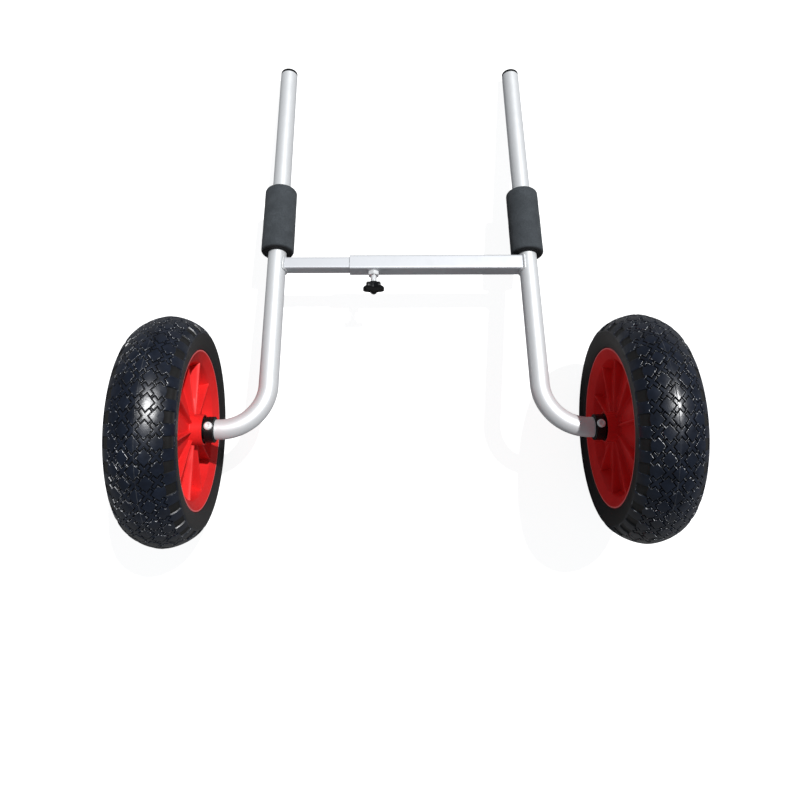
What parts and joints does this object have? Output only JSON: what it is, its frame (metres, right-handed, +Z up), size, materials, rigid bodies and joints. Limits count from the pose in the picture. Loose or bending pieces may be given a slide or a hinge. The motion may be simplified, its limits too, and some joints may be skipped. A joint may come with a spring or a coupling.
{
  "type": "boat launching wheels",
  "caption": "Launching cart for a small boat: upright posts on a telescopic crossbar, each bent outward to an axle with a tyred wheel, with foam sleeves and a knob clamp.",
  "frame": {"origin": "centre of the bounding box at floor level, with the cart put down on its tyres and post tips", "axes": "+X towards the wheel on the side of the wide crossbar tube, +Y from the axle towards the post tips along the floor, +Z up"},
  "size_m": [0.652, 0.7014, 0.2808],
  "materials": {
    "satin_aluminium": "satin",
    "weld_metal": "rough",
    "plated_steel": "zinc plated",
    "grey_foam": "soft closed-cell foam",
    "black_plastic": "moulded",
    "red_plastic": "moulded",
    "tyre_rubber": "moulded"
  },
  "bodies": {
    "right_frame": {"right_post_tube": "satin_aluminium", "right_post_end_cap": "black_plastic", "right_foam_sleeve": "grey_foam", "right_axle_collar": "black_plastic", "right_stub_axle": "plated_steel", "right_collar_screw": "plated_steel", "right_collar_lock_nut": "plated_steel", "right_hub_spacer": "black_plastic", "right_hub_washer": "plated_steel", "right_split_pin": "plated_steel", "right_weld_bead": "weld_metal", "outer_crossbar": "satin_aluminium", "clamp_nut": "plated_steel"},
    "left_frame": {"left_post_tube": "satin_aluminium", "left_post_end_cap": "black_plastic", "left_foam_sleeve": "grey_foam", "left_axle_collar": "black_plastic", "left_stub_axle": "plated_steel", "left_collar_screw": "plated_steel", "left_collar_lock_nut": "plated_steel", "left_hub_spacer": "black_plastic", "left_hub_washer": "plated_steel", "left_split_pin": "plated_steel", "left_weld_bead": "weld_metal", "inner_crossbar": "satin_aluminium"},
    "right_wheel": {"right_rim": "red_plastic", "right_tyre": "tyre_rubber", "right_inner_bush": "black_plastic", "right_outer_bush": "black_plastic"},
    "left_wheel": {"left_rim": "red_plastic", "left_tyre": "tyre_rubber", "left_inner_bush": "black_plastic", "left_outer_bush": "black_plastic"},
    "clamp_pad": {"clamp_pad": "black_plastic"},
    "clamp_knob": {"clamp_knob": "black_plastic", "clamp_screw": "plated_steel"}
  },
  "joints": [
    {"name": "crossbar_slide", "type": "slide", "parent": "right_frame", "child": "left_frame", "axis": [-1, 0, 0], "range_m": [-0.08, 0.095]},
    {"name": "right_wheel_spin", "type": "hinge", "parent": "right_frame", "child": "right_wheel", "pos_m": [0.2872, -0.21031, 0.1404], "axis": [1, 0, 0], "continuous": true},
    {"name": "left_wheel_spin", "type": "hinge", "parent": "left_frame", "child": "left_wheel", "pos_m": [-0.2872, -0.21031, 0.1404], "axis": [1, 0, 0], "continuous": true},
    {"name": "clamp_travel", "type": "slide", "parent": "right_frame", "child": "clamp_pad", "axis": [0, -0.9746, 0.2241], "range_m": [0, 0.0025]},
    {"name": "clamp_turn", "type": "hinge", "parent": "clamp_pad", "child": "clamp_knob", "pos_m": [-0.04, 0.00507, 0.09087], "axis": [0, -0.9746, 0.2241], "range_deg": [0, 720]}
  ],
  "couplings": [
    {"joint": "clamp_turn", "follows": "clamp_travel", "rad_per_m": 5026.5}
  ]
}
